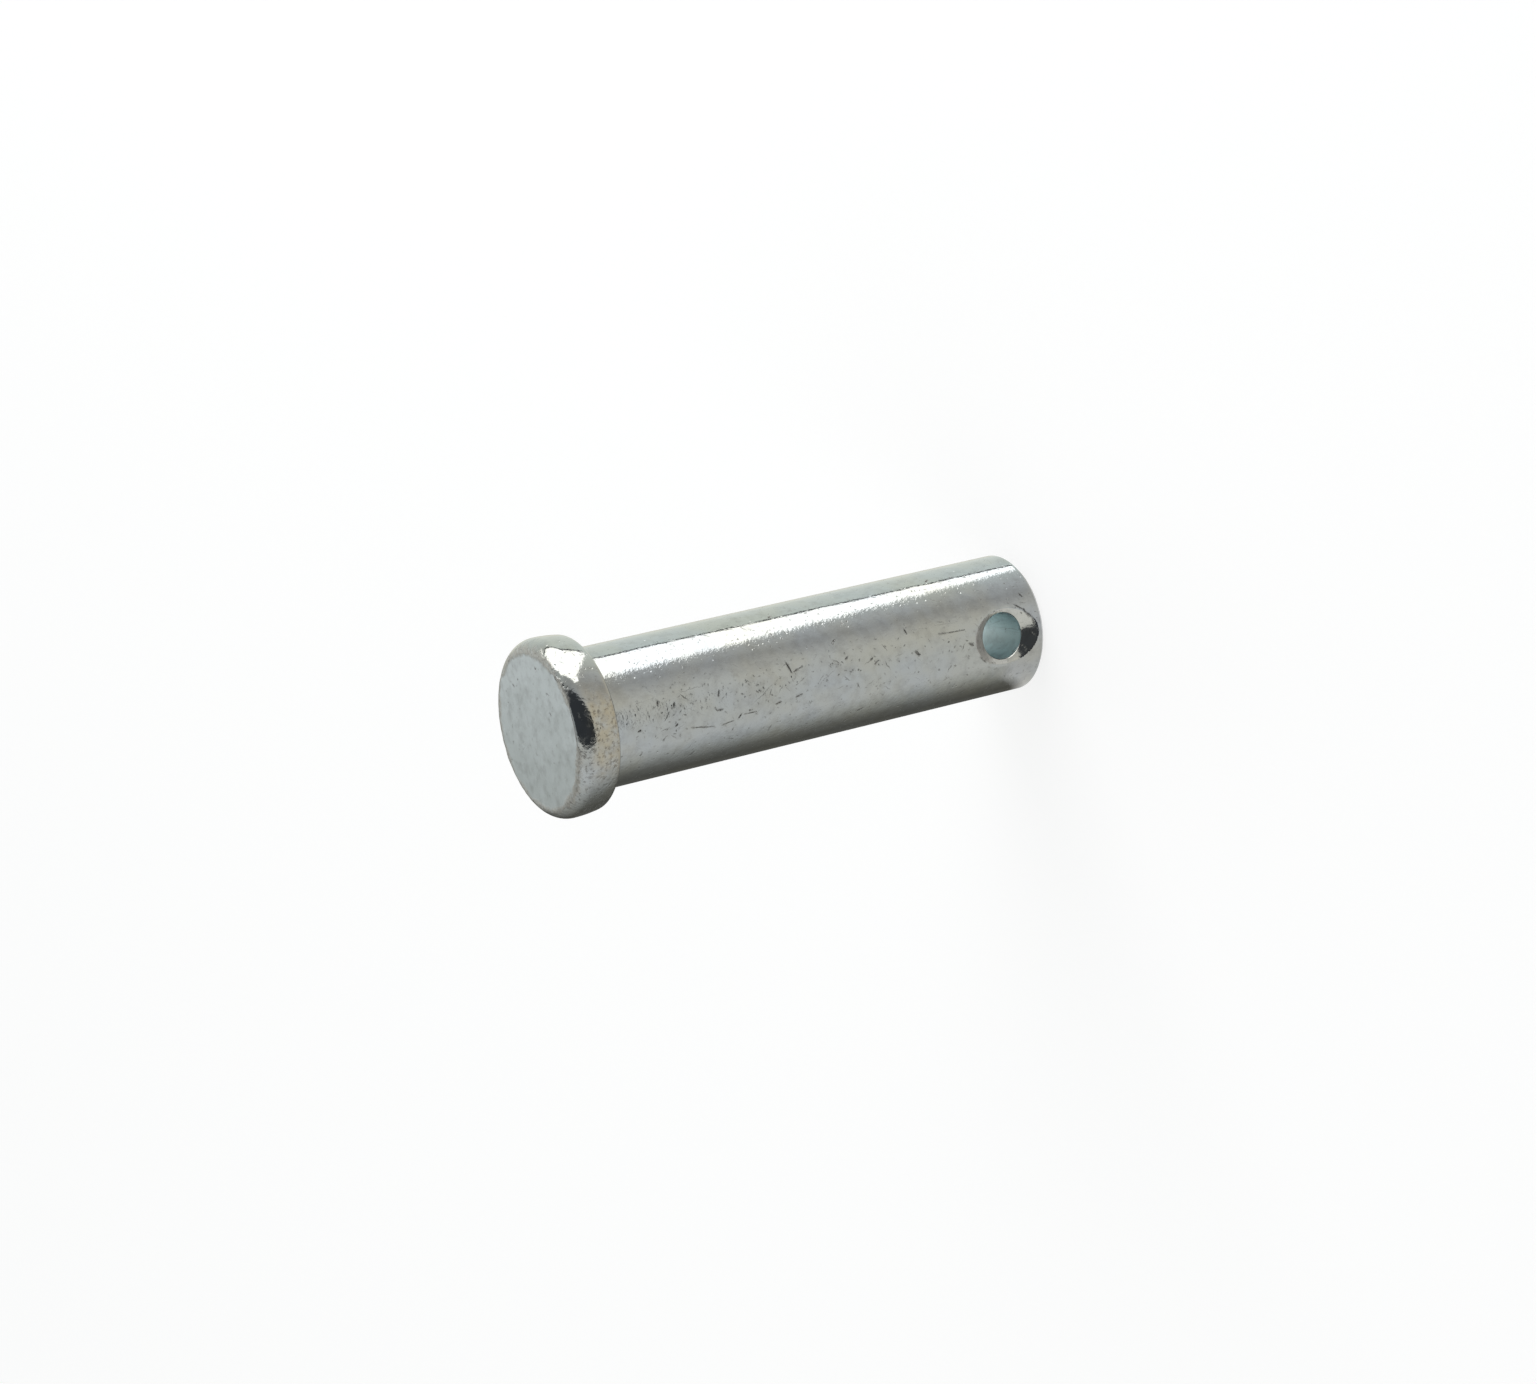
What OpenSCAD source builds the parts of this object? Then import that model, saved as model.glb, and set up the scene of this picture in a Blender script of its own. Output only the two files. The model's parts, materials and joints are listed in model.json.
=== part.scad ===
// Linkage pin: a headed clevis pin in one piece, standing on its tail end with its head up.
// The origin is the centre of the tail end, +Z runs up the shank to the head, and the cross hole
// for a split pin runs along Y.

/* [Shank] */
// Diameter of the shank
shank_d = 12.5; // [8:0.1:25]
// Length of the shank, from the tail end to the underside of the head
shank_l = 45.2; // [20:0.1:100]
// Width of the 45 degree chamfer round the tail end
tail_chamfer = 0.4; // [0.1:0.05:1.5]
// Radius of the fillet where the shank meets the head
neck_fillet = 0.3; // [0.1:0.05:0.8]

/* [Head] */
// How far the head stands out past the shank, all round
head_overhang = 1.7; // [1.3:0.05:4]
// Height of the head, from its underside to its face
head_h = 4; // [3:0.05:8]
// Width of the rounded crown, from the head's widest line in to the flat face
crown_w = 0.9; // [0.4:0.05:1.3]
// Radius of the crown's arc
crown_r = 1.6; // [1.2:0.1:2.4]
// Radius of the barrel's arc, from the head's widest line down towards its underside
barrel_r = 12; // [5:0.5:30]
// Radius of the rounded edge of the underside
lower_edge_r = 0.6; // [0.2:0.05:0.9]

/* [Cross hole] */
// Diameter of the cross hole
hole_d = 4.2; // [2:0.1:5]
// Metal left between the cross hole and the tail end
tail_wall = 2.1; // [1.6:0.1:8]
// Width of the countersink round each mouth of the hole
csk_w = 1.4; // [0.3:0.1:1.6]
// Included angle of the countersink, as the point of a twist drill leaves it
csk_angle = 118; // [82:1:130]

/* [Hidden] */
$fn = 128;

shank_r = shank_d / 2;
head_r = shank_r + head_overhang;

// The crown's arc runs straight on from the barrel's at the head's widest line, and meets the flat
// face at an angle.
crown_h = sqrt(2 * crown_r * crown_w - pow(crown_w, 2));
widest_z = shank_l + head_h - crown_h;
crown_centre = [head_r - crown_r, widest_z];

// The lower edge's arc runs straight on from the barrel's, where the line through both centres
// crosses them.
barrel_centre = [head_r - barrel_r, widest_z];
edge_z = shank_l + lower_edge_r;
edge_reach = sqrt(pow(barrel_r - lower_edge_r, 2) - pow(widest_z - edge_z, 2));
edge_centre = [barrel_centre.x + edge_reach, edge_z];
// A point on that line well outside the head
past_edge = 2 * edge_centre - barrel_centre;

hole_r = hole_d / 2;
hole_z = tail_wall + hole_r;
// Each countersink is a cone with its tip on the hole's axis, inside the hole.
csk_slope = tan(csk_angle / 2);
csk_tip_depth = (hole_r + csk_w) / csk_slope;
// How far the cutting shapes run on past the shank's surface
cut_past = shank_r / 2;

// Half section of the shank, with the tail chamfer taken off its corner.
module shank_section() {
    polygon([
        [0, 0],
        [shank_r - tail_chamfer, 0],
        [shank_r, tail_chamfer],
        [shank_r, shank_l],
        [0, shank_l]
    ]);
}

// Half section of the hollow fillet between the shank and the head's underside.
module neck_section() {
    difference() {
        translate([shank_r, shank_l - neck_fillet]) square(neck_fillet);
        translate([shank_r + neck_fillet, shank_l - neck_fillet]) circle(neck_fillet);
    }
}

// Half section of the head's lower part, from its underside up to its widest line.
module barrel_section() {
    translate([0, shank_l]) square([edge_centre.x, widest_z - shank_l]);
    translate(edge_centre) circle(lower_edge_r);
    intersection() {
        translate(barrel_centre) circle(barrel_r);
        polygon([edge_centre, past_edge, [past_edge.x, widest_z], [edge_centre.x, widest_z]]);
    }
}

// Half section of the head's upper part, from its widest line up to its flat face.
module crown_section() {
    translate([0, widest_z]) square([crown_centre.x, crown_h]);
    intersection() {
        translate(crown_centre) circle(crown_r);
        translate(crown_centre) square([crown_r, crown_h]);
    }
}

// What the drill takes out: a bore straight across the shank with a cone at each mouth.
module cross_hole() {
    translate([0, 0, hole_z]) rotate([90, 0, 0]) {
        cylinder(r = hole_r, h = 2 * (shank_r + cut_past), center = true);
        for (side = [0, 1]) mirror([0, 0, side]) countersink();
    }
}

// The cone at one mouth, from its tip out past the shank's surface.
module countersink() {
    cone_h = csk_tip_depth + cut_past;
    translate([0, 0, shank_r - csk_tip_depth]) cylinder(r1 = 0, r2 = cone_h * csk_slope, h = cone_h);
}

// The whole pin: one turned section, drilled through near its tail.
module linkage_pin() {
    color("#a9aca9") difference() {
        rotate_extrude() {
            shank_section();
            neck_section();
            barrel_section();
            crown_section();
        }
        cross_hole();
    }
}

linkage_pin();
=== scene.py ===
import json
import math

import bpy
from mathutils import Matrix, Vector
from mathutils.kdtree import KDTree


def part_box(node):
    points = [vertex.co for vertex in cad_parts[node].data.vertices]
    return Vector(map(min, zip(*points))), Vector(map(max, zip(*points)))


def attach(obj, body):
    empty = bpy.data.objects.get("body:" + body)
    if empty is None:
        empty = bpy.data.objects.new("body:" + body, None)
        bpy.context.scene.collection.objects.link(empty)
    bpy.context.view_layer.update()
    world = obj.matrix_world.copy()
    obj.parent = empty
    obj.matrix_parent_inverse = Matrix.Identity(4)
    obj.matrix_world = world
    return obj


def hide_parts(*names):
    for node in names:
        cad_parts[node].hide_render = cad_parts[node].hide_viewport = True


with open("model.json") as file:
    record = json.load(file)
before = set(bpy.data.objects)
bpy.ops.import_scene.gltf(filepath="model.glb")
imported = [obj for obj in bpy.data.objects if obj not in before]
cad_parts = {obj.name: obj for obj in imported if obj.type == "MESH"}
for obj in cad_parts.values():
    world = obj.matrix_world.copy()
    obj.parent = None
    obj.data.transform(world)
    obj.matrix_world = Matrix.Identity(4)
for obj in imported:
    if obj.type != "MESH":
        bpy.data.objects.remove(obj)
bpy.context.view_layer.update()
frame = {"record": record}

bl_info = {
    "name": "Linkage pin",
    "version": (1, 0, 0),
    "blender": (4, 5, 0),
    "location": "View3D > Sidebar > Linkage pin",
    "description": "Models and finishes a zinc-plated linkage pin round its CAD frame, and lights it",
    "category": "Object",
}

NODE = "linkage_pin"
PIECE = "plated_pin"
BODY = "root"
MM = 0.001

MOUNTS = {mount["name"]: mount for mount in frame["record"]["mounts"]}
PIN_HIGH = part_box(NODE)[1]

# The longest side of a face on the pin's mesh, and how many faces go round it and round its hole
ROW = 0.22 * MM
TURN_STEPS = 192
DRILL_STEPS = 96
# The drill runs on this far past the shank's surface.
DRILL_PAST = 0.5 * MM
MERGE = 0.001 * MM
# Edges that turn by more than this stay sharp.
SHARP = math.radians(24)

# Nicks and scratches seen on the shank: each runs from one point to the other, given as
# millimetres round the shank from its front line and millimetres up from the tail, and has a width.
NICKS = (
    ((2.33, 27.31), (1.27, 27.00), 0.16),
    ((1.27, 27.00), (1.65, 25.77), 0.10),
    ((0.62, 18.05), (0.36, 18.50), 0.13),
    ((0.98, 18.62), (0.74, 18.90), 0.12),
    ((1.56, 21.10), (1.34, 21.40), 0.13),
    ((2.82, 14.70), (2.31, 14.59), 0.13),
    ((1.66, 11.37), (1.48, 8.59), 0.06),
    ((-1.40, 37.62), (-1.83, 35.22), 0.07),
    ((-1.86, 34.40), (-1.70, 33.30), 0.06),
    ((-1.58, 32.78), (-1.25, 32.50), 0.13),
    ((-1.33, 32.20), (-1.38, 30.94), 0.07),
    ((-1.10, 29.00), (-1.00, 28.40), 0.10),
    ((-0.90, 26.90), (-0.75, 26.20), 0.11),
    ((1.60, 40.50), (1.15, 40.62), 0.11),
    ((1.08, 38.98), (0.72, 39.10), 0.15),
    ((-0.78, 38.90), (-0.95, 39.10), 0.17),
    ((1.25, 34.45), (0.80, 34.60), 0.12),
    ((-0.10, 35.10), (-0.42, 34.95), 0.10),
    ((-0.42, 34.95), (-0.42, 34.35), 0.09),
    ((-4.05, 37.00), (-4.40, 37.35), 0.15),
    ((-3.70, 19.60), (-3.90, 20.25), 0.12),
    ((3.30, 21.80), (3.05, 22.20), 0.14),
    ((-3.10, 29.30), (-3.75, 29.55), 0.10),
    ((2.74, 2.76), (2.21, 2.07), 0.14),
    ((2.21, 2.07), (1.18, 1.17), 0.16),
    ((1.18, 1.17), (0.68, 0.96), 0.12),
    ((-1.35, 7.22), (-1.98, 6.54), 0.12),
    ((-2.18, 6.07), (-2.34, 5.39), 0.08),
    ((0.20, 8.30), (-0.05, 7.95), 0.20),
    ((3.64, 1.79), (3.18, 1.56), 0.14),
    ((0.62, 14.10), (0.25, 13.75), 0.24),
    ((-0.56, 42.55), (-0.66, 42.80), 0.18),
    ((7.60, 9.40), (7.38, 9.80), 0.15),
    ((7.45, 26.20), (7.33, 26.52), 0.15),
)
# The same on the head's flat face, in millimetres along X and Y from its middle
FACE_NICKS = (
    ((5.30, -4.45), (4.86, -4.93), 0.16),
    ((5.66, -1.14), (5.50, -1.28), 0.18),
    ((3.62, -2.66), (3.52, -3.02), 0.10),
    ((1.95, -2.80), (1.71, -3.00), 0.12),
    ((3.72, 3.52), (3.62, 3.28), 0.12),
)
# How deep a nick is, and how far it runs on past its two points, for its width
NICK_DEPTH = 0.35
NICK_PAST = 0.3
# The mesh's attribute for the dirt in the nicks, how thick it lies, and where it ends, as a share of the
# way from a nick's middle to its rim
NICK_DIRT = "nick_dirt"
NICK_DIRT_LEVEL = 0.8
NICK_DIRT_REACH = 1.6

# Handling marks strewn over the shank and the head's side: one to a cell of that size in millimetres, the
# share of cells that have one, its length and width in millimetres, its lean in degrees, and its depth
# of tone
STREWN = (
    (0.65, 0.35, 0.26, 0.13, 80, 0.60),
    (1.7, 0.45, 0.75, 0.09, 60, 0.55),
    (4.5, 0.40, 2.40, 0.07, 30, 0.40),
)
# Clusters where more of them lie: millimetres round the shank and up from the tail to the middle, and
# the radius
CLUSTERS = (
    (0.0, 39.2, 2.7),
    (0.4, 30.5, 3.2),
    (0.2, 22.6, 2.3),
)

# Millimetres round the skin from the front line to the middle of the head's stain, of the crisp stretch of
# its face's edge, and of its specks
STAIN_MIDDLE = 0.2
CRISP_MIDDLE = 1.1
SPECKS_MIDDLE = -4.0
# The crisp stretch's two ends, in degrees round from the front
CRISP_STRETCH = (-3, 22)
# How far the face's edge is knocked about, and how far out, in and down from the edge that reaches
EDGE_BRUISE = 0.06 * MM
EDGE_BAND = 0.28 * MM
EDGE_DROP = 0.3 * MM
# The same for the hole's mouths, out, in and down from the shank's surface
MOUTH_BRUISE = 0.04 * MM
MOUTH_BAND = 0.2 * MM

# Dents that tumbling has left, in millimetres: the cell and depth of an orange-peel, the same of a slow
# swell, and the cell and greatest depth of single knocks, whose radius is a share of the cell
PEEL_CELL = 0.26
PEEL_DEPTH = 0.0125
SWELL_CELL = 3
SWELL_DEPTH = 0.03
KNOCK_CELL = 0.75
KNOCK_DEPTH = 0.027
KNOCK_RADIUS = 0.16
# How much marks sink in and the bruised edge stands out, in millimetres
MARK_DEPTH = 0.012
RING_HEIGHT = 0.03
# Roughness of the parts that are duller than the plating, and of dirt
DULL_PARTS = {"face": 0.55, "cone": 0.14, "scuffed": 0.5, "bore": 0.45, "ring": 0.38}
DIRT_ROUGHNESS = 0.5

# How bright the room is round the pin, by azimuth in degrees from its front towards +X: low down, and high up
LOW_ROOM = (
    (-180, "#dcdcd0"), (-176, "#c4c4ba"), (-170, "#5c5c57"), (-160, "#52524e"), (-125, "#575752"),
    (-104, "#72726d"), (-88, "#9b9c98"), (-72, "#c0c2c1"), (-56, "#d8dadb"), (-20, "#d9dbdb"),
    (24, "#dcdbd5"), (40, "#cbcac6"), (56, "#b6b6b5"), (75, "#cdcfcf"), (118, "#ecf4f0"),
    (165, "#e6ece6"), (180, "#dcdcd0"),
)
HIGH_ROOM = (
    (-180, "#f6fafa"), (-172, "#f0f4f4"), (-160, "#c8ccca"), (-135, "#babcba"), (-90, "#cfd1cf"),
    (-72, "#dedfde"), (-45, "#d6d7d5"), (60, "#adb0b3"), (90, "#c0c4c5"), (135, "#c6cbca"),
    (165, "#d8dddc"), (180, "#f6fafa"),
)
# Straight down, the room has one tone.
UNDER_ROOM = "#d0cdc5"
# Elevations in degrees over which the three run into each other
UNDER_TO_LOW = (-66, -46)
LOW_TO_HIGH = (-12, 34)
# The dark room behind and above the camera lies inside three circles of directions, each given by the
# azimuth and elevation of its middle and its radius, in degrees. The circles' edges are this soft.
DARK_ROOM = ((71, 8, 90), (-45, 33, 80), (0, 90, 114))
DARK_SOFTNESS = 1.5
DARK_TONE = "#3d4044"
ROOM_LEVEL = 1.2

# Corners of the softbox in metres, on a plane at the pin's +X side: round from the back of its bottom edge
SOFTBOX_CORNERS = (
    (0.400, 0.178, -0.311),
    (0.400, 0.295, 0.290),
    (0.400, 0.150, 0.490),
    (0.400, 0.020, 0.450),
    (0.400, -0.225, 0.085),
    (0.400, -0.225, -0.111),
)
SOFTBOX_LEVEL = 2.6
# Width of the dark frame along its back edge in metres, and the frame's tone
FRAME_WIDTH = 0.030
FRAME_TONE = "#3a3d40"

# How much of the floor's white is its own glow to the camera, and how much is lit paper
FLOOR_GLOW = 0.78
FLOOR_PAPER = 0.35

# The card under the tail, in millimetres: its straight edges, each by the azimuth it faces in degrees and
# its distance from the pin's axis, its reach all round, how soft its edges are, the side of the square it
# is cut from, how far it lies under the floor, and its brightness
FOOT_EDGES = ((-135, 4.2), (90, 3.5))
FOOT_REACH = 12.0
FOOT_SOFTNESS = 1.3
FOOT_SIDE = 30.0
FOOT_DROP = 0.1
FOOT_LEVEL = 0.78

# The camera's sensor in millimetres, and the nearest it sees in metres
SENSOR_WIDTH = 36
NEAREST_SEEN = 0.01


def linear(hexcode):
    """A colour written as sRGB hex, as the linear numbers that Blender's sockets take."""
    parts = [int(hexcode[i:i + 2], 16) / 255 for i in (1, 3, 5)]
    return [p / 12.92 if p <= 0.04045 else ((p + 0.055) / 1.055) ** 2.4 for p in parts]


def length_property(name, description, default):
    """A length in metres."""
    return bpy.props.FloatProperty(
        name=name, description=description, default=default, unit="LENGTH", precision=5
    )


def angle_property(name, description, degrees):
    """An angle, written in degrees."""
    return bpy.props.FloatProperty(
        name=name, description=description, default=math.radians(degrees), subtype="ANGLE"
    )


def colour_property(name, description, hexcode):
    """A colour, written as sRGB hex."""
    return bpy.props.FloatVectorProperty(
        name=name, description=description, default=linear(hexcode), subtype="COLOR", min=0, max=1
    )


class PinSizes(bpy.types.PropertyGroup):
    """Sizes of the pin, as turned and drilled"""

    shank_radius: length_property(
        "Shank radius", "Half the shank's diameter", MOUNTS["shank"]["dims"]["r_mm"] * MM
    )
    seat_height: length_property("Seat height", "Tail end to head underside", MOUNTS["head_seat"]["pos_m"][2])
    overall_height: length_property("Overall height", "Tail end to the head's flat face", PIN_HIGH.z)
    head_radius: length_property("Head radius", "Half the head's diameter at its widest line", PIN_HIGH.x)
    tail_chamfer: length_property("Tail chamfer", "Width of the chamfer round the tail end", 0.4 * MM)
    tail_edge_radius: length_property(
        "Tail edge radius", "Radius that wear has left on the chamfer's edges", 0.12 * MM
    )
    neck_fillet: length_property("Neck fillet", "Radius where the shank meets the head", 0.3 * MM)
    crown_width: length_property("Crown width", "Head's widest line in to its flat face", 0.9 * MM)
    crown_radius: length_property("Crown radius", "Radius of the crown's arc", 1.6 * MM)
    barrel_radius: length_property(
        "Barrel radius", "Radius of the head's side below its widest line", 12 * MM
    )
    lower_edge_radius: length_property("Lower edge radius", "Radius of the underside's edge", 0.6 * MM)
    hole_radius: length_property(
        "Hole radius", "Half the cross hole's diameter", MOUNTS["split_pin_hole"]["dims"]["r_mm"] * MM
    )
    hole_height: length_property(
        "Hole height", "Tail end to the hole's axis", MOUNTS["split_pin_hole"]["pos_m"][2]
    )
    countersink_width: length_property(
        "Countersink width", "Width of the cone round each mouth of the hole", 1.4 * MM
    )
    countersink_angle: angle_property("Countersink angle", "Included angle of the cones", 118)
    bore_edge_radius: length_property(
        "Bore edge radius", "Radius that wear has left where bore meets cone", 0.2 * MM
    )


class PinFinish(bpy.types.PropertyGroup):
    """Colours of the plating, of a painted shade on the head's face, and of what lies in its nicks"""

    warm_plating: colour_property("Warm plating", "Plating with a faint straw cast", "#b1b2ac")
    cool_plating: colour_property("Cool plating", "Plating with a faint blue cast", "#afb3b4")
    straw_plating: colour_property(
        "Straw plating", "Stained plating on the front of the head's side", "#b1aa98"
    )
    # The face's plating, and a painted shaded copy of it that the face is blended into towards -X, away from
    # the softbox
    face_plating: colour_property("Face plating", "Plating on the head's flat face", "#ced3d4")
    face_painted_shade: colour_property("Face shade", "Duller plating towards one side of the face", "#b9bebd")
    cone_plating: colour_property("Cone plating", "Plating on the drilled cones", "#c6c6bf")
    bore_plating: colour_property("Bore plating", "Thin bluish plating in the cross hole", "#d8e6e8")
    bruised_plating: colour_property(
        "Bruised plating", "Rough ring round the head's face, and scuffed cones", "#adaba5"
    )
    grime: colour_property("Grime", "Dirt lying in pits, nicks and scratches", "#57514a")
    brown_grime: colour_property("Brown grime", "Dirt in the stain and in clusters of marks", "#5c4d3a")


class Studio(bpy.types.PropertyGroup):
    """Camera and floor"""

    camera_aim: bpy.props.FloatVectorProperty(
        name="Camera aim",
        description="Point that the camera looks at",
        default=(-0.001248, -0.000295, 0.026168),
        subtype="XYZ",
        unit="LENGTH",
    )
    camera_distance: length_property("Camera distance", "Lens to the point it looks at", 332.46 * MM)
    camera_azimuth: angle_property("Camera azimuth", "Turn round the pin from its front", 13.0)
    camera_elevation: angle_property("Camera elevation", "Height above the horizon", 29.463)
    camera_roll: angle_property("Camera roll", "Turn of the picture", -103.345)
    camera_lens: bpy.props.FloatProperty(
        name="Camera lens", description="Focal length on a 36 mm sensor", default=87.758, unit="CAMERA"
    )
    floor_size: length_property("Floor size", "Side of the square floor", 4.0)
    floor: colour_property("Floor", "Matt white floor", "#fdfdfd")


def add_node(tree, kind, inputs=None, out=0, stops=(), **settings):
    """Adds a shader node, sets it, fills or links its inputs by name or number, and returns one output."""
    made = tree.nodes.new("ShaderNode" + kind)
    for name, value in settings.items():
        setattr(made, name, value)
    for place, (position, colour) in enumerate(stops):
        elements = made.color_ramp.elements
        stop = elements[place] if place < len(elements) else elements.new(position)
        stop.position = position
        stop.color = (*colour, 1)
    for key, value in (inputs or {}).items():
        if isinstance(value, bpy.types.NodeSocket):
            tree.links.new(value, made.inputs[key])
        else:
            made.inputs[key].default_value = value
    return made.outputs[out] if made.outputs else None


def new_tree(owner):
    """An empty node tree on a material or world, and the call that adds to it."""
    owner.use_nodes = True
    owner.node_tree.nodes.clear()
    return lambda kind, inputs=None, **settings: add_node(owner.node_tree, kind, inputs, **settings)


def arc(centre, radius, start, end, step):
    """Points along an arc after its first one, with angles from the radius axis."""
    count = max(3, math.ceil(abs(end - start) * radius / step))
    angles = [start + (end - start) * i / count for i in range(1, count + 1)]
    return [(centre[0] + radius * math.cos(a), centre[1] + radius * math.sin(a)) for a in angles]


def line(start, end, step):
    """Points along a straight line after its first one."""
    count = max(1, math.ceil(math.dist(start, end) / step))
    return [tuple(a + (b - a) * i / count for a, b in zip(start, end)) for i in range(1, count + 1)]


def pin_section(s):
    """Half section as (radius, height), from the middle of the head's face to the middle of the tail."""
    crown_height = math.sqrt(2 * s.crown_radius * s.crown_width - s.crown_width ** 2)
    widest = s.overall_height - crown_height
    crown_centre = (s.head_radius - s.crown_radius, widest)
    barrel_centre = (s.head_radius - s.barrel_radius, widest)
    edge_height = s.seat_height + s.lower_edge_radius
    edge_drop = math.asin((widest - edge_height) / (s.barrel_radius - s.lower_edge_radius))
    edge_reach = (s.barrel_radius - s.lower_edge_radius) * math.cos(edge_drop)
    edge_centre = (barrel_centre[0] + edge_reach, edge_height)
    fillet_centre = (s.shank_radius + s.neck_fillet, s.seat_height - s.neck_fillet)
    # The chamfer's two edges are rounded inside its corners.
    worn = s.tail_edge_radius
    set_back = worn * math.tan(math.pi / 8)
    upper_worn = (s.shank_radius - worn, s.tail_chamfer + set_back)
    lower_worn = (s.shank_radius - s.tail_chamfer - set_back, worn)
    fine = ROW / 2
    points = [(0, s.overall_height)]
    points += line(points[-1], (s.head_radius - s.crown_width, s.overall_height), ROW)
    points += arc(crown_centre, s.crown_radius, math.asin(crown_height / s.crown_radius), 0, fine)
    points += arc(barrel_centre, s.barrel_radius, 0, -edge_drop, ROW)
    points += arc(edge_centre, s.lower_edge_radius, -edge_drop, -math.pi / 2, fine)
    points += line(points[-1], (fillet_centre[0], s.seat_height), ROW)
    points += arc(fillet_centre, s.neck_fillet, math.pi / 2, math.pi, fine)
    points += line(points[-1], (s.shank_radius, upper_worn[1]), ROW)
    points += arc(upper_worn, worn, 0, -math.pi / 4, fine / 2)
    points += arc(lower_worn, worn, -math.pi / 4, -math.pi / 2, fine / 2)
    points += line(points[-1], (0, 0), 2 * ROW)
    return points


def drill_cone(s):
    """How fast the drilled cones widen, and how far from the pin's axis their tips lie."""
    slope = math.tan(s.countersink_angle / 2)
    tip = s.shank_radius - (s.hole_radius + s.countersink_width) / slope
    return slope, tip


def drill_section(s):
    """Half section of what the drill takes out: a bore that opens into a cone at each mouth."""
    half = s.countersink_angle / 2
    slope, tip = drill_cone(s)
    mouth = tip + s.hole_radius / slope
    end = s.shank_radius + DRILL_PAST
    end_radius = (end - tip) * slope
    # The edge between cone and bore is rounded.
    worn = s.bore_edge_radius
    bend, bend_height = s.hole_radius + worn, mouth - worn * math.tan(half / 2)
    points = [(0, end), (end_radius, end)]
    points += line(points[-1], (bend - worn * math.cos(half), bend_height + worn * math.sin(half)), ROW)
    points += arc((bend, bend_height), worn, math.pi - half, math.pi, ROW / 4)
    points += line(points[-1], (s.hole_radius, -bend_height), ROW)
    points += arc((bend, -bend_height), worn, math.pi, math.pi + half, ROW / 4)
    points += line(points[-1], (end_radius, -end), ROW)
    points.append((0, -end))
    return points


def turn(name, points, steps):
    """A solid turned about Z from a half section whose first and last points are on the axis."""
    bpy.ops.object.select_all(action="DESELECT")
    bpy.ops.mesh.primitive_plane_add(size=MM)
    piece = bpy.context.object
    piece.name = name
    piece.data.name = name
    bpy.ops.object.mode_set(mode="EDIT")
    bpy.ops.mesh.select_all(action="SELECT")
    bpy.ops.mesh.merge(type="CENTER")
    bpy.ops.transform.translate(value=(points[0][0], 0, points[0][1]))
    for start, end in zip(points, points[1:]):
        step = (end[0] - start[0], 0, end[1] - start[1])
        bpy.ops.mesh.extrude_region_move(TRANSFORM_OT_translate={"value": step})
    bpy.ops.mesh.select_all(action="SELECT")
    bpy.ops.mesh.spin(steps=steps, angle=2 * math.pi, center=(0, 0, 0), axis=(0, 0, 1))
    bpy.ops.mesh.select_all(action="SELECT")
    bpy.ops.mesh.remove_doubles(threshold=MERGE)
    bpy.ops.mesh.normals_make_consistent(inside=False)
    bpy.ops.object.mode_set(mode="OBJECT")
    return piece


def select_only(piece, chosen):
    """Selects the piece alone, and of its vertices only those that chosen() picks by their place."""
    bpy.ops.object.select_all(action="DESELECT")
    piece.select_set(True)
    bpy.context.view_layer.objects.active = piece
    bpy.context.tool_settings.mesh_select_mode = (True, False, False)
    bpy.ops.object.mode_set(mode="EDIT")
    bpy.ops.mesh.select_all(action="DESELECT")
    bpy.ops.object.mode_set(mode="OBJECT")
    for vertex in piece.data.vertices:
        vertex.select = chosen(vertex.co)


def cut_out(pin, cutter, name):
    """Cuts the cutter's form out of the pin, and removes the cutter."""
    select_only(pin, lambda place: False)
    cut = pin.modifiers.new(name, "BOOLEAN")
    cut.operation = "DIFFERENCE"
    cut.solver = "EXACT"
    cut.object = cutter
    bpy.ops.object.modifier_apply(modifier=cut.name)
    bpy.data.objects.remove(cutter)


def drill(pin, s):
    """Cuts the cross hole and its two countersinks along Y."""
    cutter = turn("drill", drill_section(s), DRILL_STEPS)
    cutter.rotation_euler = (math.pi / 2, 0, 0)
    cutter.location = (0, 0, s.hole_height)
    cut_out(pin, cutter, "Cross hole")


def nick_places(s):
    """Each nick's middle, its facing with X along it and Z out of the metal, its length and its width."""
    places = []
    for start, end, width in NICKS:
        turned = (start[0] + end[0]) / 2 * MM / s.shank_radius
        outward = Vector((math.sin(turned), -math.cos(turned), 0))
        tangent = Vector((math.cos(turned), math.sin(turned), 0))
        middle = s.shank_radius * outward + Vector((0, 0, (start[1] + end[1]) / 2 * MM))
        along = (end[0] - start[0]) * tangent + Vector((0, 0, end[1] - start[1]))
        places.append((middle, along, outward, width * MM))
    for start, end, width in FACE_NICKS:
        middle = Vector(((start[0] + end[0]) / 2 * MM, (start[1] + end[1]) / 2 * MM, s.overall_height))
        along = Vector((end[0] - start[0], end[1] - start[1], 0))
        places.append((middle, along, Vector((0, 0, 1)), width * MM))
    framed = []
    for middle, along, outward, width in places:
        ahead = along.normalized()
        facing = Matrix((ahead, outward.cross(ahead), outward)).transposed()
        framed.append((middle, facing, along.length * MM, width))
    return framed


def cut_nicks(pin, nicks):
    """Cuts nicks with one lens-shaped tool each."""
    tools = []
    for middle, facing, length, width in nicks:
        bpy.ops.mesh.primitive_uv_sphere_add(
            segments=20,
            ring_count=10,
            radius=1,
            location=middle,
            rotation=facing.to_euler(),
            scale=(length / 2 + NICK_PAST * width, width / 2, NICK_DEPTH * width),
        )
        tools.append(bpy.context.object)
    bpy.ops.object.select_all(action="DESELECT")
    for tool in tools:
        tool.select_set(True)
    bpy.ops.object.join()
    cut_out(pin, bpy.context.object, "Nicks")


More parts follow.
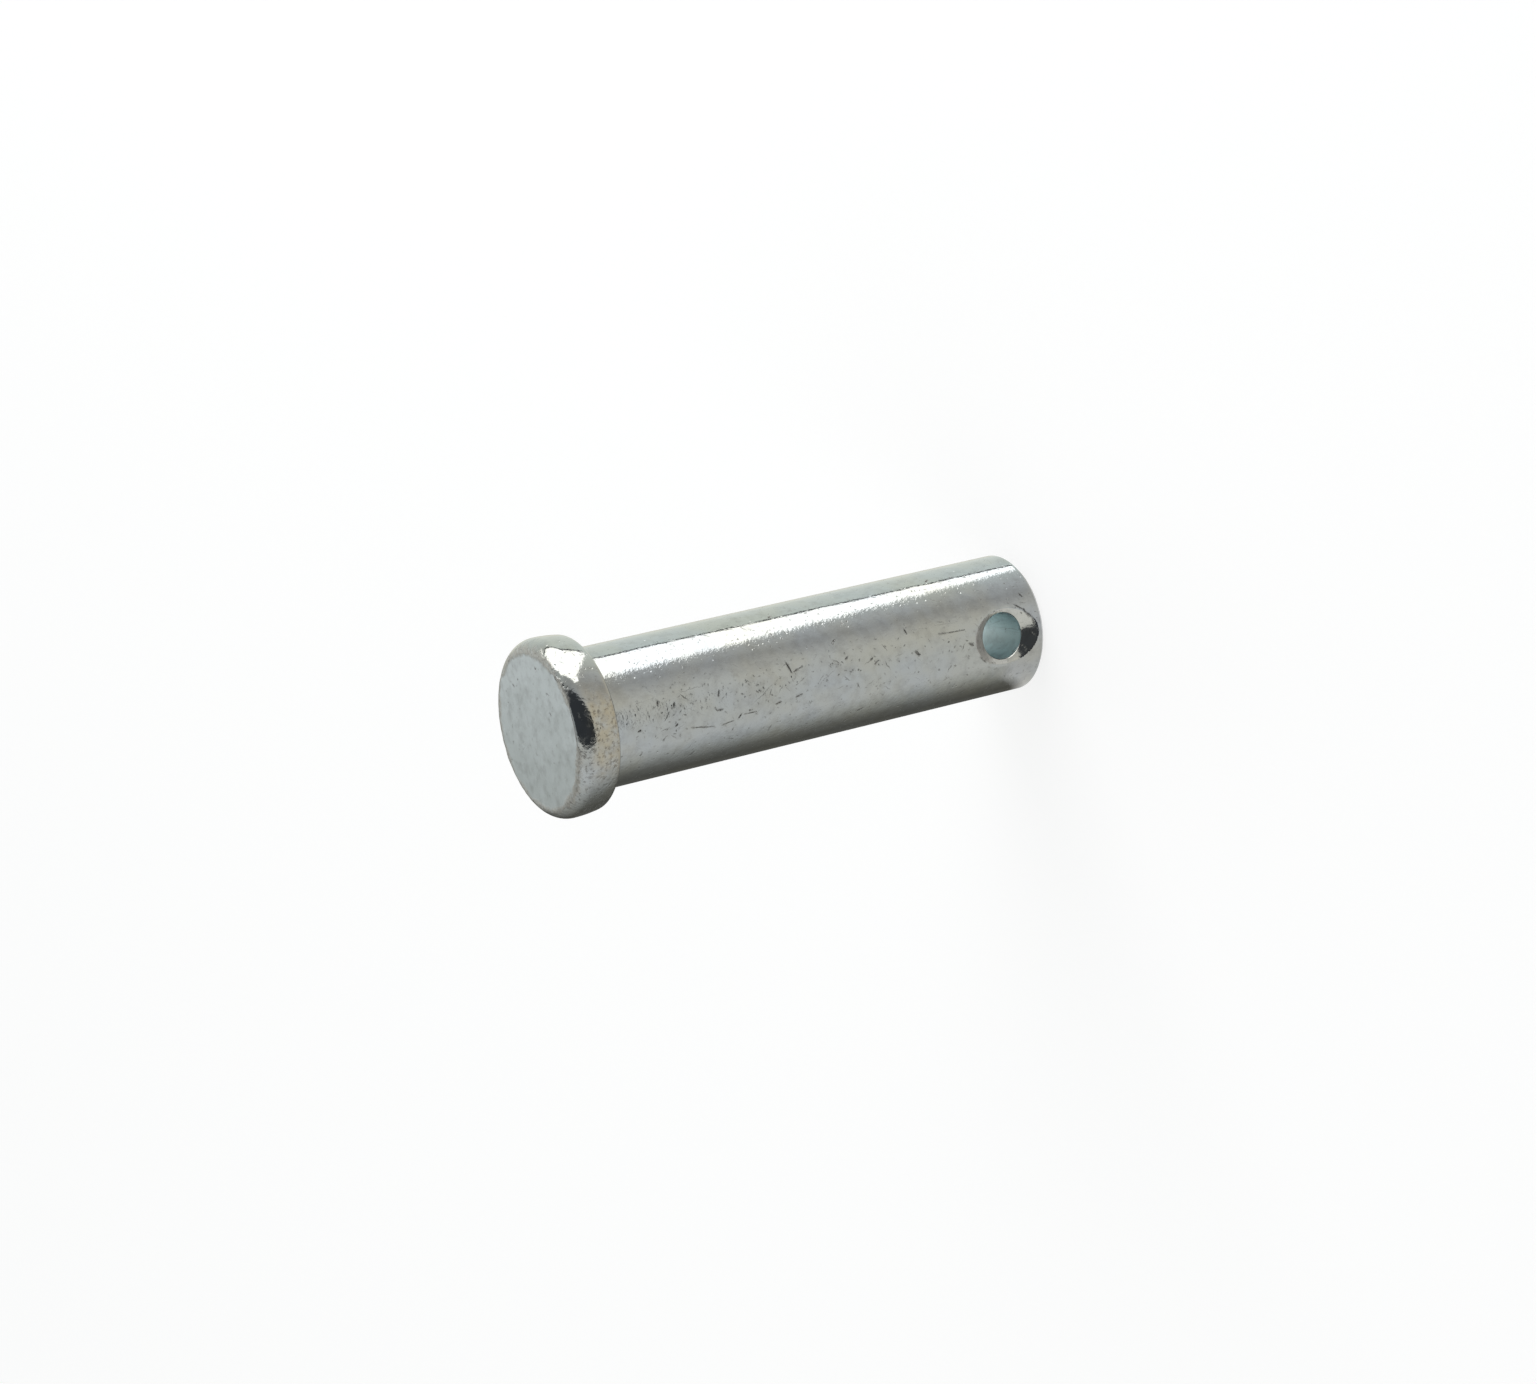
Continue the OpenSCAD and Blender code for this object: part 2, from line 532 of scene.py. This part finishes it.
def dirty_nicks(pin, nicks):
    """Marks how much dirt lies at each vertex: all of it in a nick, fading out round its rim."""
    vertices = pin.data.vertices
    tree = KDTree(len(vertices))
    for vertex in vertices:
        tree.insert(vertex.co, vertex.index)
    tree.balance()
    dirt = pin.data.attributes.new(NICK_DIRT, "FLOAT", "POINT")
    for middle, facing, length, width in nicks:
        for place, index, _ in tree.find_range(middle, length / 2 + width):
            across = facing.transposed() @ (place - middle)
            reach = math.hypot(across.x / (length / 2 + NICK_PAST * width), across.y / (width / 2))
            level = NICK_DIRT_LEVEL * min(max(NICK_DIRT_REACH - reach, 0), 1)
            dirt.data[index].value = max(dirt.data[index].value, level)


def bruise(pin, chosen, depth, seed):
    """Knocks the chosen vertices about by up to that depth, and rounds the dents off a little."""
    select_only(pin, chosen)
    bpy.ops.object.mode_set(mode="EDIT")
    bpy.ops.transform.vertex_random(offset=depth, uniform=0.2, normal=0.3, seed=seed)
    bpy.ops.mesh.vertices_smooth(factor=0.5, repeat=3)
    bpy.ops.object.mode_set(mode="OBJECT")


def bruise_edges(pin, s):
    """Tumbling has knocked the edge of the head's face, but for a crisp stretch at its front, and the drill
    has left the hole's mouths ragged."""
    face_radius = s.head_radius - s.crown_width
    slope, tip = drill_cone(s)

    def on_face_edge(place):
        near = abs(math.hypot(place.x, place.y) - face_radius) < EDGE_BAND
        crisp = CRISP_STRETCH[0] < math.degrees(math.atan2(place.x, -place.y)) < CRISP_STRETCH[1]
        return near and not crisp and place.z > s.overall_height - EDGE_DROP

    def on_mouth(place):
        cone_radius = (abs(place.y) - tip) * slope
        near = abs(math.hypot(place.x, place.z - s.hole_height) - cone_radius) < MOUTH_BAND
        return near and math.hypot(place.x, place.y) > s.shank_radius - MOUTH_BAND

    bruise(pin, on_face_edge, EDGE_BRUISE, seed=3)
    bruise(pin, on_mouth, MOUTH_BRUISE, seed=5)


def fold(node, operation, *masks):
    """Joins masks one after another by the same operation."""
    whole = masks[0]
    for mask in masks[1:]:
        whole = node("Math", {0: whole, 1: mask}, operation=operation)
    return whole


def blend(node, factor, under, over):
    """One colour over another."""
    return node("Mix", {0: factor, 6: under, 7: over}, data_type="RGBA", out=2)


def noise(node, place, size, low, high, least=0.0, most=1.0, detail=3):
    """Clouds of that size in millimetres, from the least value to the most between two noise levels."""
    clouds = node("TexNoise", {"Vector": place, "Scale": 1 / size, "Detail": detail, "Roughness": 0.6})
    return node("MapRange", {0: clouds, 1: low, 2: high, 3: least, 4: most})


def pin_regions(node, s, place, x, y, z, around):
    """Masks of the head's face, its bruised edge, the stained and speckled parts of its side, the drilled
    cones and their scuffed part, the bore and the clusters of marks."""

    def flat_length(a, b):
        return node("VectorMath", {0: node("CombineXYZ", {0: a, 1: b})}, operation="LENGTH", out="Value")

    seat, top = s.seat_height / MM, s.overall_height / MM
    shank, hole = s.shank_radius / MM, s.hole_radius / MM
    axis_height = s.hole_height / MM
    mouth = hole + s.countersink_width / MM
    ring_radius = (s.head_radius - s.crown_width) / MM
    off_centre = flat_length(x, y)
    off_axis = flat_length(x, node("Math", {0: z, 1: axis_height}, operation="SUBTRACT"))

    face = node("MapRange", {0: z, 1: top - 0.12, 2: top - 0.03})

    # How far round the skin from the middles of the stain, of the face edge's crisp stretch and of the specks
    from_stain, from_crisp, from_specks = (
        node("Math", {0: node("Math", {0: around, 1: middle}, operation="SUBTRACT")}, operation="ABSOLUTE")
        for middle in (STAIN_MIDDLE, CRISP_MIDDLE, SPECKS_MIDDLE)
    )
    on_side = node("MapRange", {0: z, 1: seat, 2: seat + 0.4})
    # The stain lies below the crown, and the specks run up to the face.
    front = fold(
        node, "MULTIPLY",
        node("MapRange", {0: from_stain, 1: 4.2, 2: 1.7}),
        on_side,
        node("MapRange", {0: z, 1: top - 0.7, 2: top - 1.6}),
    )
    speckled = fold(
        node, "MULTIPLY",
        node("MapRange", {0: from_specks, 1: 4.6, 2: 3.2}),
        on_side,
        node("MapRange", {0: z, 1: top - 0.03, 2: top - 0.2}),
    )

    skin = node("CombineXYZ", {0: around, 1: z})
    spots = []
    for turned, height, radius in CLUSTERS:
        off = node("VectorMath", {0: skin, 1: (turned, height, 0)}, operation="DISTANCE", out="Value")
        spots.append(node("MapRange", {0: off, 1: radius, 2: radius / 2}))
    cluster = fold(node, "MAXIMUM", *spots)

    # The bruised edge's half width wanders up to 0.6 mm. It's narrow where the edge is crisp, and a grain
    # of 0.4 mm breaks it up.
    from_ring = node("Math", {0: off_centre, 1: ring_radius}, operation="SUBTRACT")
    from_ring = node("Math", {0: from_ring}, operation="ABSOLUTE")
    width = fold(
        node, "MULTIPLY",
        noise(node, place, 2.2, 0.36, 0.62, 0.12, 0.6),
        node("MapRange", {0: from_crisp, 1: 1.4, 2: 2.2, 3: 0.12}),
    )
    reach = fold(node, "DIVIDE", from_ring, width)
    ring = fold(
        node, "MULTIPLY",
        node("MapRange", {0: reach, 1: 1.2, 2: 0.5}),
        node("MapRange", {0: z, 1: top - 0.8, 2: top - 0.6}),
        noise(node, place, 0.4, 0.3, 0.5, 0.3),
    )

    cone = fold(
        node, "MULTIPLY",
        node("MapRange", {0: off_axis, 1: mouth + 0.15, 2: mouth}),
        node("MapRange", {0: off_centre, 1: shank - 0.03, 2: shank - 0.1}),
    )
    bore = node("MapRange", {0: off_axis, 1: hole + 0.03, 2: hole + 0.005})
    # The side of the cones towards the head is scuffed, from 1.2 mm above the hole's axis.
    headward = node("MapRange", {0: z, 1: axis_height + 1.2, 2: axis_height + 2.2})
    scuffed = fold(node, "MULTIPLY", cone, headward)
    return {
        "face": face,
        "ring": ring,
        "front": front,
        "speckled": speckled,
        "cone": cone,
        "scuffed": scuffed,
        "bore": bore,
        "cluster": cluster,
    }


def plating_colour(node, finish, place, x, regions):
    """Colour of the clean plating, with painted shade across the head's face."""
    # Cast of the passivate in clouds about 7 mm across
    cast = noise(node, place, 7, 0.4, 0.6)
    colour = blend(node, cast, (*finish.warm_plating, 1), (*finish.cool_plating, 1))

    # Straw stain in blotches about 1.2 mm across
    stain = fold(node, "MULTIPLY", noise(node, place, 1.2, 0.3, 0.6, 0.2, 1.0), regions["front"])
    colour = blend(node, stain, colour, (*finish.straw_plating, 1))
    # A thin brown film in patches about 1 mm across, where marks lie in clusters
    film = fold(node, "MULTIPLY", noise(node, place, 1, 0.4, 0.65, 0, 0.12), regions["cluster"])
    colour = blend(node, film, colour, (*finish.brown_grime, 1))

    # Painted shade: the face darkens towards -X, away from the softbox, and clouds of random tone about 2 mm
    # across lie over it.
    painted_shade_and_clouds = node("MapRange", {0: x, 1: 6.0, 2: -7.0})
    clouds = noise(node, place, 2, 0.3, 0.7, -0.25, 0.25)
    painted_shade_and_clouds = node("Math", {0: painted_shade_and_clouds, 1: clouds}, operation="ADD", use_clamp=True)
    face = blend(node, painted_shade_and_clouds, (*finish.face_plating, 1), (*finish.face_painted_shade, 1))
    colour = blend(node, regions["face"], colour, face)

    colour = blend(node, regions["cone"], colour, (*finish.cone_plating, 1))
    colour = blend(node, regions["scuffed"], colour, (*finish.bruised_plating, 1))
    colour = blend(node, regions["bore"], colour, (*finish.bore_plating, 1))
    return blend(node, regions["ring"], colour, (*finish.bruised_plating, 1))


def strewn_marks(node, skin, cluster, cell, share, length, width, lean, tone):
    """Mask of marks strewn over the unrolled skin, each with its own lean, and more of them in clusters."""
    cells = node("TexVoronoi", {"Vector": skin, "Scale": 1 / cell}, voronoi_dimensions="2D")
    chances = node("SeparateColor", {0: cells.node.outputs["Color"]})
    red, green, blue = chances.node.outputs
    offset = node("VectorMath", {0: skin, 1: cells.node.outputs["Position"]}, operation="SUBTRACT")
    angle = node("MapRange", {0: red, 3: -math.radians(lean), 4: math.radians(lean)})
    laid = node("VectorRotate", {"Vector": offset, "Angle": angle}, rotation_type="Z_AXIS")
    scaled = node("VectorMath", {0: laid, 1: (2 / width, 2 / length, 0)}, operation="MULTIPLY")
    reach = node("VectorMath", {0: scaled}, operation="LENGTH", out="Value")
    mark = node("MapRange", {0: reach, 1: 1.5, 2: 0.3, 4: tone})
    crowd = node("Math", {0: cluster, 1: 0.4, 2: share}, operation="MULTIPLY_ADD")
    kept = node("Math", {0: green, 1: crowd}, operation="LESS_THAN")
    faded = node("Math", {0: blue, 1: 0.7, 2: 0.3}, operation="MULTIPLY_ADD")
    return fold(node, "MULTIPLY", mark, kept, faded)


def wear_marks(node, s, place, z, around, regions):
    """Mask of the dirt in nicks, scratches and pits."""
    top = s.overall_height / MM
    # The marks wander off their lines by up to 0.1 mm.
    shake = node("TexNoise", {"Vector": place, "Scale": 1 / 0.5, "Detail": 2}, out="Color")
    shake = node("VectorMath", {0: shake, 1: (0.5, 0.5, 0.5)}, operation="SUBTRACT")
    shake = node("VectorMath", {0: shake, 1: (0.35, 0.35, 0)}, operation="MULTIPLY")
    skin = node("VectorMath", {0: node("CombineXYZ", {0: around, 1: z}), 1: shake}, operation="ADD")

    # Strewn marks lie in the clusters and in drifts about 5 mm across.
    cluster = regions["cluster"]
    strewn = fold(node, "MAXIMUM", *(strewn_marks(node, skin, cluster, *kind) for kind in STREWN))
    drifts = fold(node, "MAXIMUM", cluster, noise(node, place, 5, 0.35, 0.6, 0.15, 1, detail=2))
    strewn = fold(node, "MULTIPLY", strewn, drifts)
    # The skin is unrolled from the sides, so its marks stop at the head's face.
    side = node("MapRange", {0: z, 1: top - 0.3, 2: top - 0.5})
    strewn = fold(node, "MULTIPLY", strewn, side)
    # The dirt in the nicks is broken up by a grain of 0.3 mm.
    nicks = node("Attribute", {}, attribute_name=NICK_DIRT, out="Fac")
    nicks = fold(node, "MULTIPLY", nicks, noise(node, place, 0.3, 0.35, 0.6, 0.35))

    # Specks of dirt 0.2 to 0.4 mm across, the most of them on the head's front, its bruised edge and the
    # scuffed cones
    specks = noise(node, place, 0.45, 0.64, 0.76, 0, 0.6)
    stained = fold(node, "MAXIMUM", regions["front"], regions["speckled"])
    stained = fold(node, "MULTIPLY", noise(node, place, 0.35, 0.51, 0.67, 0, 0.48), stained)
    bruised = fold(node, "MAXIMUM", regions["ring"], regions["scuffed"])
    bruised = fold(node, "MULTIPLY", noise(node, place, 0.3, 0.5, 0.66, 0, 0.45), bruised)

    # Pits about 0.2 mm across, everywhere
    pits = node("TexVoronoi", {"Vector": place, "Scale": 1 / 1.4})
    chance = node("SeparateColor", {0: pits.node.outputs["Color"]})
    kept = node("Math", {0: chance, 1: 0.3}, operation="LESS_THAN")
    pit = fold(node, "MULTIPLY", node("MapRange", {0: pits, 1: 0.1, 2: 0.05, 4: 0.7}), kept)
    return fold(node, "MAXIMUM", strewn, nicks, specks, stained, bruised, pit)


def zinc_plate(s, finish):
    """Bright zinc plating over turned steel, barrel plated: a mirror with a fine orange-peel of tumbling
    dents, cloudy straw and blue casts from the passivate, and dirt lying in pits, nicks and scratches."""
    material = bpy.data.materials.new("bright_zinc_plate")
    node = new_tree(material)

    # Places in millimetres, and how far round the shank's skin they lie from its front line
    place = node("VectorMath", {0: node("TexCoord", out="Object"), "Scale": 1 / MM}, operation="SCALE")
    x, y, z = node("SeparateXYZ", {0: place}).node.outputs
    front = node("Math", {0: y, 1: -1.0}, operation="MULTIPLY")
    turned = node("Math", {0: x, 1: front}, operation="ARCTAN2")
    around = node("Math", {0: turned, 1: s.shank_radius / MM}, operation="MULTIPLY")

    regions = pin_regions(node, s, place, x, y, z, around)
    marks = wear_marks(node, s, place, z, around, regions)
    colour = plating_colour(node, finish, place, x, regions)
    # Smudges 0.4 to 1 mm across leave a thin film of the same dirt.
    smudges = noise(node, place, 0.9, 0.46, 0.7, 0, 0.2, detail=4)
    dirt = blend(node, regions["front"], (*finish.grime, 1), (*finish.brown_grime, 1))
    colour = blend(node, fold(node, "MAXIMUM", marks, smudges), colour, dirt)

    # Tumbling dents: the orange-peel, less deep near the tail and least on the +X flank, and the swell
    peel = fold(
        node, "MULTIPLY",
        node("MapRange", {0: x, 1: 5.6, 2: 4.2, 3: 0.4, 4: 1.0}),
        node("MapRange", {0: z, 1: 11.0, 2: 4.0, 3: 1.0, 4: 0.75}),
        noise(node, place, PEEL_CELL, 0.0, 1.0, 0.0, PEEL_DEPTH, detail=2),
    )
    swell = noise(node, place, SWELL_CELL, 0.0, 1.0, 0.0, SWELL_DEPTH, detail=1)
    dents = node("Math", {0: peel, 1: swell}, operation="ADD")
    # Single knocks, which glint by the bright strip
    knocks = node("TexVoronoi", {"Vector": place, "Scale": 1 / KNOCK_CELL})
    chance = node("SeparateColor", {0: knocks.node.outputs["Color"]})
    deepest = node("MapRange", {0: chance, 3: KNOCK_DEPTH, 4: 0.0})
    knocks = node("MapRange", {0: knocks, 1: KNOCK_RADIUS, 2: 0.0}, interpolation_type="SMOOTHSTEP")
    dents = node("Math", {0: dents, 1: fold(node, "MULTIPLY", knocks, deepest)}, operation="SUBTRACT")
    dents = node("Math", {0: marks, 1: -MARK_DEPTH, 2: dents}, operation="MULTIPLY_ADD")
    dents = node("Math", {0: regions["ring"], 1: RING_HEIGHT, 2: dents}, operation="MULTIPLY_ADD")
    bump = node("Bump", {"Height": dents, "Strength": 1.0, "Distance": MM}, out="Normal")

    # The sheen is a near mirror, in clouds about 1.5 mm across, and dull where dirt lies.
    rough = noise(node, place, 1.5, 0.3, 0.7, 0.05, 0.09, detail=4)
    for name, level in DULL_PARTS.items():
        rough = node("Mix", {0: regions[name], 2: rough, 3: level}, data_type="FLOAT")
    rough = node("Mix", {0: marks, 2: rough, 3: DIRT_ROUGHNESS}, data_type="FLOAT")
    metal = node("MapRange", {0: marks, 3: 1.0, 4: 0.3})

    shader = node(
        "BsdfPrincipled", {"Base Color": colour, "Metallic": metal, "Roughness": rough, "Normal": bump}
    )
    node("OutputMaterial", {"Surface": shader})
    return material


class LINKAGEPIN_OT_pin(bpy.types.Operator):
    """Turn, drill and plate the pin, and let it stand for its CAD solid"""

    bl_idname = "linkage_pin.pin"
    bl_label = "Plated pin"
    bl_options = {"REGISTER", "UNDO"}

    def execute(self, context):
        s = context.scene.pin_sizes
        pin = turn(PIECE, pin_section(s), TURN_STEPS)
        drill(pin, s)
        # Nicks that meet follow each other in the list, so they're cut in turn.
        nicks = nick_places(s)
        cut_nicks(pin, nicks[::2])
        cut_nicks(pin, nicks[1::2])
        bruise_edges(pin, s)
        dirty_nicks(pin, nicks)
        bpy.ops.object.shade_smooth_by_angle(angle=SHARP)
        pin.data.materials.clear()
        pin.data.materials.append(zinc_plate(s, context.scene.pin_finish))
        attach(pin, BODY)
        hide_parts(NODE)
        return {"FINISHED"}


def studio_world(scene):
    """White to the camera. What the metal mirrors, and what lights the floor, is a pale room, dark behind
    the camera."""
    scene.world = bpy.data.worlds.new("Studio")
    node = new_tree(scene.world)

    direction = node("TexCoord", out="Generated")
    x, y, z = node("SeparateXYZ", {0: direction}).node.outputs
    front = node("Math", {0: y, 1: -1.0}, operation="MULTIPLY")
    azimuth = node("Math", {0: x, 1: front}, operation="ARCTAN2")
    elevation = node("Math", {0: z}, operation="ARCSINE")
    along = node("MapRange", {0: azimuth, 1: -math.pi, 2: math.pi})
    low, high = (
        node("ValToRGB", {0: along}, stops=[((degrees + 180) / 360, linear(tone)) for degrees, tone in room])
        for room in (LOW_ROOM, HIGH_ROOM)
    )
    to_low, to_high = (
        node("MapRange", {0: elevation, 1: math.radians(start), 2: math.radians(end)})
        for start, end in (UNDER_TO_LOW, LOW_TO_HIGH)
    )
    room = blend(node, to_low, (*linear(UNDER_ROOM), 1), low)
    room = blend(node, to_high, room, high)

    circles = []
    for turned, rise, radius in DARK_ROOM:
        turned, rise = math.radians(turned), math.radians(rise)
        middle = (math.sin(turned) * math.cos(rise), -math.cos(turned) * math.cos(rise), math.sin(rise))
        towards = node("VectorMath", {0: direction, 1: middle}, operation="DOT_PRODUCT", out="Value")
        outer, inner = (math.cos(math.radians(radius + side * DARK_SOFTNESS)) for side in (1, -1))
        circles.append(node("MapRange", {0: towards, 1: outer, 2: inner}))
    room = blend(node, fold(node, "MULTIPLY", *circles), room, (*linear(DARK_TONE), 1))

    lit = node("Background", {"Color": room, "Strength": ROOM_LEVEL})
    white = node("Background", {"Color": (1, 1, 1, 1), "Strength": 1.0})
    seen = node("LightPath", out="Is Camera Ray")
    node("OutputWorld", {"Surface": node("MixShader", {0: seen, 1: lit, 2: white})})


def white_paper(tone):
    """Matt white paper: its own glow makes it read as white to the camera, and it takes a soft shadow."""
    material = bpy.data.materials.new("matt_white_paper")
    node = new_tree(material)
    paper = node("BsdfDiffuse", {"Color": (*[FLOOR_PAPER * part for part in tone], 1)})
    glow = node("Emission", {"Color": (*tone, 1), "Strength": FLOOR_GLOW})
    seen = node("LightPath", out="Is Camera Ray")
    both = node("AddShader", {0: paper, 1: glow})
    node("OutputMaterial", {"Surface": node("MixShader", {0: seen, 1: paper, 2: both})})
    return material


def foot_card_paper():
    """White card that fades out over its soft edges, so that the foot of the shank mirrors white paper."""
    material = bpy.data.materials.new("foot_card_paper")
    node = new_tree(material)
    place = node("VectorMath", {0: node("TexCoord", out="Object"), "Scale": 1 / MM}, operation="SCALE")
    reach = node("VectorMath", {0: place}, operation="LENGTH", out="Value")
    edges = [(reach, FOOT_REACH)]
    for turned, distance in FOOT_EDGES:
        outward = (math.sin(math.radians(turned)), -math.cos(math.radians(turned)), 0)
        off = node("VectorMath", {0: place, 1: outward}, operation="DOT_PRODUCT", out="Value")
        edges.append((off, distance))
    inside = fold(
        node, "MULTIPLY",
        *(node("MapRange", {0: off, 1: end + FOOT_SOFTNESS, 2: end - FOOT_SOFTNESS}) for off, end in edges),
    )
    glow = node("Emission", {"Color": (1, 1, 1, 1), "Strength": FOOT_LEVEL})
    node("OutputMaterial", {"Surface": node("MixShader", {0: inside, 1: node("BsdfTransparent"), 2: glow})})
    return material


def even_glow(name, tone, level):
    """A surface that glows evenly: diffuser cloth lit from behind, or the dark cloth of its frame."""
    material = bpy.data.materials.new(name)
    node = new_tree(material)
    node("OutputMaterial", {"Surface": node("Emission", {"Color": (*linear(tone), 1), "Strength": level})})
    return material


def add_panel(name, corners, material):
    """A flat panel with those corners, which lights the pin and shows in it but not to the camera."""
    bpy.ops.mesh.primitive_circle_add(vertices=len(corners), fill_type="NGON")
    panel = bpy.context.object
    panel.name = name
    for vertex, corner in zip(panel.data.vertices, corners):
        vertex.co = corner
    panel.data.materials.append(material)
    panel.visible_camera = False
    panel.visible_shadow = False


class LINKAGEPIN_OT_stage(bpy.types.Operator):
    """Set up the floor, the card, the softbox, the room and the camera"""

    bl_idname = "linkage_pin.stage"
    bl_label = "Stage"
    bl_options = {"REGISTER", "UNDO"}

    def execute(self, context):
        scene = context.scene
        studio = scene.pin_studio
        scene.view_settings.view_transform = "Standard"
        bpy.ops.object.select_all(action="DESELECT")

        # The pin mirrors the room and the card under its tail, and not the rest of the floor.
        bpy.ops.mesh.primitive_plane_add(size=studio.floor_size)
        floor = context.object
        floor.name = "floor"
        floor.data.materials.append(white_paper(studio.floor))
        floor.visible_glossy = False
        floor.visible_shadow = False

        bpy.ops.mesh.primitive_plane_add(size=FOOT_SIDE * MM, location=(0, 0, -FOOT_DROP * MM))
        card = context.object
        card.name = "foot_card"
        card.data.materials.append(foot_card_paper())
        card.visible_camera = False
        card.visible_diffuse = False
        card.visible_shadow = False

        add_panel("softbox", SOFTBOX_CORNERS, even_glow("softbox_cloth", "#ffffff", SOFTBOX_LEVEL))
        low, high = SOFTBOX_CORNERS[:2]
        behind = [(x, y + FRAME_WIDTH, z) for x, y, z in (high, low)]
        add_panel("softbox_frame", (low, high, *behind), even_glow("frame_cloth", FRAME_TONE, ROOM_LEVEL))

        bpy.ops.object.camera_add()
        camera = context.object
        turn_round = Matrix.Rotation(studio.camera_azimuth, 4, "Z")
        tip_down = Matrix.Rotation(math.pi / 2 - studio.camera_elevation, 4, "X")
        roll = Matrix.Rotation(studio.camera_roll, 4, "Z")
        facing = turn_round @ tip_down @ roll
        back = facing @ Vector((0, 0, studio.camera_distance))
        camera.matrix_world = Matrix.Translation(Vector(studio.camera_aim) + back) @ facing
        camera.data.sensor_width = SENSOR_WIDTH
        camera.data.lens = studio.camera_lens
        camera.data.clip_start = NEAREST_SEEN
        scene.camera = camera

        studio_world(scene)
        return {"FINISHED"}


class LINKAGEPIN_PT_panel(bpy.types.Panel):
    """The linkage pin's operators and settings"""

    bl_label = "Linkage pin"
    bl_idname = "LINKAGEPIN_PT_panel"
    bl_space_type = "VIEW_3D"
    bl_region_type = "UI"
    bl_category = "Linkage pin"

    def draw(self, context):
        for group in (context.scene.pin_sizes, context.scene.pin_finish, context.scene.pin_studio):
            box = self.layout.box()
            for name in group.__annotations__:
                box.prop(group, name)
        self.layout.operator(LINKAGEPIN_OT_pin.bl_idname)
        self.layout.operator(LINKAGEPIN_OT_stage.bl_idname)


CLASSES = (PinSizes, PinFinish, Studio, LINKAGEPIN_OT_pin, LINKAGEPIN_OT_stage, LINKAGEPIN_PT_panel)


def register():
    """Adds the classes, and the pin's settings to the scene."""
    for cls in CLASSES:
        bpy.utils.register_class(cls)
    bpy.types.Scene.pin_sizes = bpy.props.PointerProperty(type=PinSizes)
    bpy.types.Scene.pin_finish = bpy.props.PointerProperty(type=PinFinish)
    bpy.types.Scene.pin_studio = bpy.props.PointerProperty(type=Studio)


def unregister():
    """Takes out what register() adds."""
    del bpy.types.Scene.pin_studio
    del bpy.types.Scene.pin_finish
    del bpy.types.Scene.pin_sizes
    for cls in reversed(CLASSES):
        bpy.utils.unregister_class(cls)


def main():
    """Makes the pin and the stage."""
    register()
    bpy.ops.linkage_pin.pin()
    bpy.ops.linkage_pin.stage()


if __name__ == "__main__":
    main()
